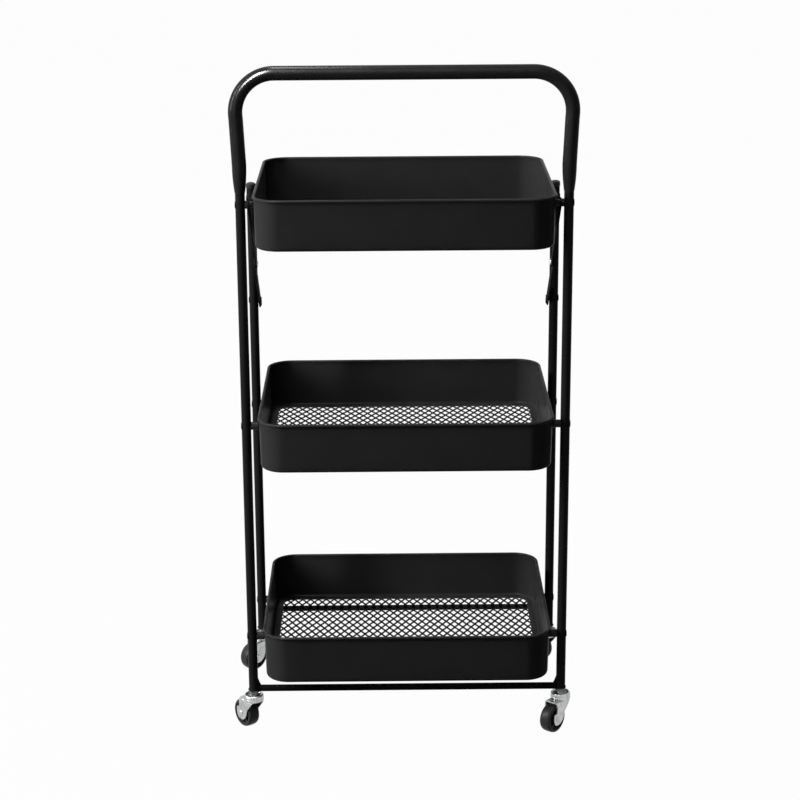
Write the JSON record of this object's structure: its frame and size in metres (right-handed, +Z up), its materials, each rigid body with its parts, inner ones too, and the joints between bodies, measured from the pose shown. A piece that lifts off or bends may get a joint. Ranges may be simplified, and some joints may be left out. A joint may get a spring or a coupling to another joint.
{
  "type": "folding serving cart",
  "caption": "Folding serving cart: pressed trays with net floors hinged between tube frames, with a push handle, folding side stays and swivel casters.",
  "frame": {"origin": "on the floor under the centre of the overall box, casters turned as in the picture", "axes": "+X to the right seen from the handle side, +Y from the handle frame to the rear frame, +Z up"},
  "size_m": [0.4854, 0.3302, 0.9476],
  "materials": {
    "frame_paint": "black satin powder coat",
    "tray_paint": "black satin powder coat",
    "pin_paint": "black coated rivets and spacers",
    "zinc_plate": "bright zinc plated pressings and rivets",
    "wheel_plastic": "black moulded plastic",
    "cap_plastic": "black moulded plastic"
  },
  "bodies": {
    "front_frame": {"handle": "frame_paint", "front_crossbar": "frame_paint", "front_leg_left": "frame_paint", "front_leg_right": "frame_paint", "front_pin_top_left": "pin_paint", "front_pin_top_right": "pin_paint", "front_pin_middle_left": "pin_paint", "front_pin_middle_right": "pin_paint", "front_pin_low_left": "pin_paint", "front_pin_low_right": "pin_paint", "caster_stem_front_left": "zinc_plate", "caster_stem_front_right": "zinc_plate"},
    "rear_frame": {"rear_crossbar": "frame_paint", "rear_leg_left": "frame_paint", "rear_leg_right": "frame_paint", "rear_cap_left": "cap_plastic", "rear_cap_right": "cap_plastic", "rear_pin_top_left": "pin_paint", "rear_pin_top_right": "pin_paint", "rear_pin_middle_left": "pin_paint", "rear_pin_middle_right": "pin_paint", "rear_pin_low_left": "pin_paint", "rear_pin_low_right": "pin_paint", "stay_rivet_left": "pin_paint", "stay_rivet_right": "pin_paint", "caster_stem_rear_left": "zinc_plate", "caster_stem_rear_right": "zinc_plate"},
    "tray_top": {"tray_top": "tray_paint", "net_top": "tray_paint"},
    "tray_middle": {"tray_middle": "tray_paint", "net_middle": "tray_paint"},
    "tray_low": {"tray_low": "tray_paint", "net_low": "tray_paint"},
    "stay_upper_left": {"stay_upper_left": "frame_paint", "knee_rivet_left": "zinc_plate"},
    "stay_lower_left": {"stay_lower_left": "frame_paint"},
    "stay_upper_right": {"stay_upper_right": "frame_paint", "knee_rivet_right": "zinc_plate"},
    "stay_lower_right": {"stay_lower_right": "frame_paint"},
    "fork_front_left": {"caster_fork_front_left": "zinc_plate", "caster_axle_front_left": "zinc_plate"},
    "wheel_front_left": {"caster_wheel_front_left": "wheel_plastic"},
    "fork_front_right": {"caster_fork_front_right": "zinc_plate", "caster_axle_front_right": "zinc_plate"},
    "wheel_front_right": {"caster_wheel_front_right": "wheel_plastic"},
    "fork_rear_left": {"caster_fork_rear_left": "zinc_plate", "caster_axle_rear_left": "zinc_plate"},
    "wheel_rear_left": {"caster_wheel_rear_left": "wheel_plastic"},
    "fork_rear_right": {"caster_fork_rear_right": "zinc_plate", "caster_axle_rear_right": "zinc_plate"},
    "wheel_rear_right": {"caster_wheel_rear_right": "wheel_plastic"}
  },
  "joints": [
    {"name": "fold_middle", "type": "hinge", "parent": "front_frame", "child": "tray_middle", "pos_m": [0.00945, -0.125, 0.4554], "axis": [1, 0, 0], "range_deg": [0, 75]},
    {"name": "fold_top", "type": "hinge", "parent": "front_frame", "child": "tray_top", "pos_m": [0.00945, -0.125, 0.7638], "axis": [1, 0, 0], "range_deg": [0, 75]},
    {"name": "fold_low", "type": "hinge", "parent": "front_frame", "child": "tray_low", "pos_m": [0.00945, -0.125, 0.1442], "axis": [1, 0, 0], "range_deg": [0, 75]},
    {"name": "rear_frame_swing", "type": "hinge", "parent": "tray_middle", "child": "rear_frame", "pos_m": [0.00945, 0.102, 0.4189], "axis": [1, 0, 0], "range_deg": [-75, 0]},
    {"name": "stay_upper_left_hinge", "type": "hinge", "parent": "front_frame", "child": "stay_upper_left", "pos_m": [-0.20955, -0.125, 0.7638], "axis": [1, 0, 0], "range_deg": [0, 112.88]},
    {"name": "stay_lower_left_hinge", "type": "hinge", "parent": "rear_frame", "child": "stay_lower_left", "pos_m": [-0.20955, 0.102, 0.5775], "axis": [1, 0, 0], "range_deg": [-28.64, 0]},
    {"name": "stay_upper_right_hinge", "type": "hinge", "parent": "front_frame", "child": "stay_upper_right", "pos_m": [0.22845, -0.125, 0.7638], "axis": [1, 0, 0], "range_deg": [0, 112.88]},
    {"name": "stay_lower_right_hinge", "type": "hinge", "parent": "rear_frame", "child": "stay_lower_right", "pos_m": [0.22845, 0.102, 0.5775], "axis": [1, 0, 0], "range_deg": [-28.64, 0]},
    {"name": "swivel_front_left", "type": "hinge", "parent": "front_frame", "child": "fork_front_left", "pos_m": [-0.20955, -0.125, 0.0511], "axis": [0, 0, 1], "continuous": true},
    {"name": "roll_front_left", "type": "hinge", "parent": "fork_front_left", "child": "wheel_front_left", "pos_m": [-0.22124, -0.11003, 0.0207], "axis": [-0.788, -0.6157, 0], "continuous": true},
    {"name": "swivel_front_right", "type": "hinge", "parent": "front_frame", "child": "fork_front_right", "pos_m": [0.22845, -0.125, 0.0511], "axis": [0, 0, 1], "continuous": true},
    {"name": "roll_front_right", "type": "hinge", "parent": "fork_front_right", "child": "wheel_front_right", "pos_m": [0.21624, -0.13956, 0.0207], "axis": [0.766, -0.6428, 0], "continuous": true},
    {"name": "swivel_rear_left", "type": "hinge", "parent": "rear_frame", "child": "fork_rear_left", "pos_m": [-0.20955, 0.102, 0.0511], "axis": [0, 0, 1], "continuous": true},
    {"name": "roll_rear_left", "type": "hinge", "parent": "fork_rear_left", "child": "wheel_rear_left", "pos_m": [-0.22321, 0.0888, 0.0207], "axis": [0.6947, -0.7193, 0], "continuous": true},
    {"name": "swivel_rear_right", "type": "hinge", "parent": "rear_frame", "child": "fork_rear_right", "pos_m": [0.22845, 0.102, 0.0511], "axis": [0, 0, 1], "continuous": true},
    {"name": "roll_rear_right", "type": "hinge", "parent": "fork_rear_right", "child": "wheel_rear_right", "pos_m": [0.21624, 0.11656, 0.0207], "axis": [-0.766, -0.6428, 0], "continuous": true}
  ],
  "couplings": [
    {"joint": "fold_top", "follows": "fold_middle", "ratio": 1},
    {"joint": "fold_low", "follows": "fold_middle", "ratio": 1},
    {"joint": "rear_frame_swing", "follows": "fold_middle", "ratio": -1},
    {"joint": "stay_upper_left_hinge", "follows": "fold_middle", "ratio": 1.505},
    {"joint": "stay_lower_left_hinge", "follows": "fold_middle", "ratio": -0.38188},
    {"joint": "stay_upper_right_hinge", "follows": "fold_middle", "ratio": 1.505},
    {"joint": "stay_lower_right_hinge", "follows": "fold_middle", "ratio": -0.38188}
  ]
}
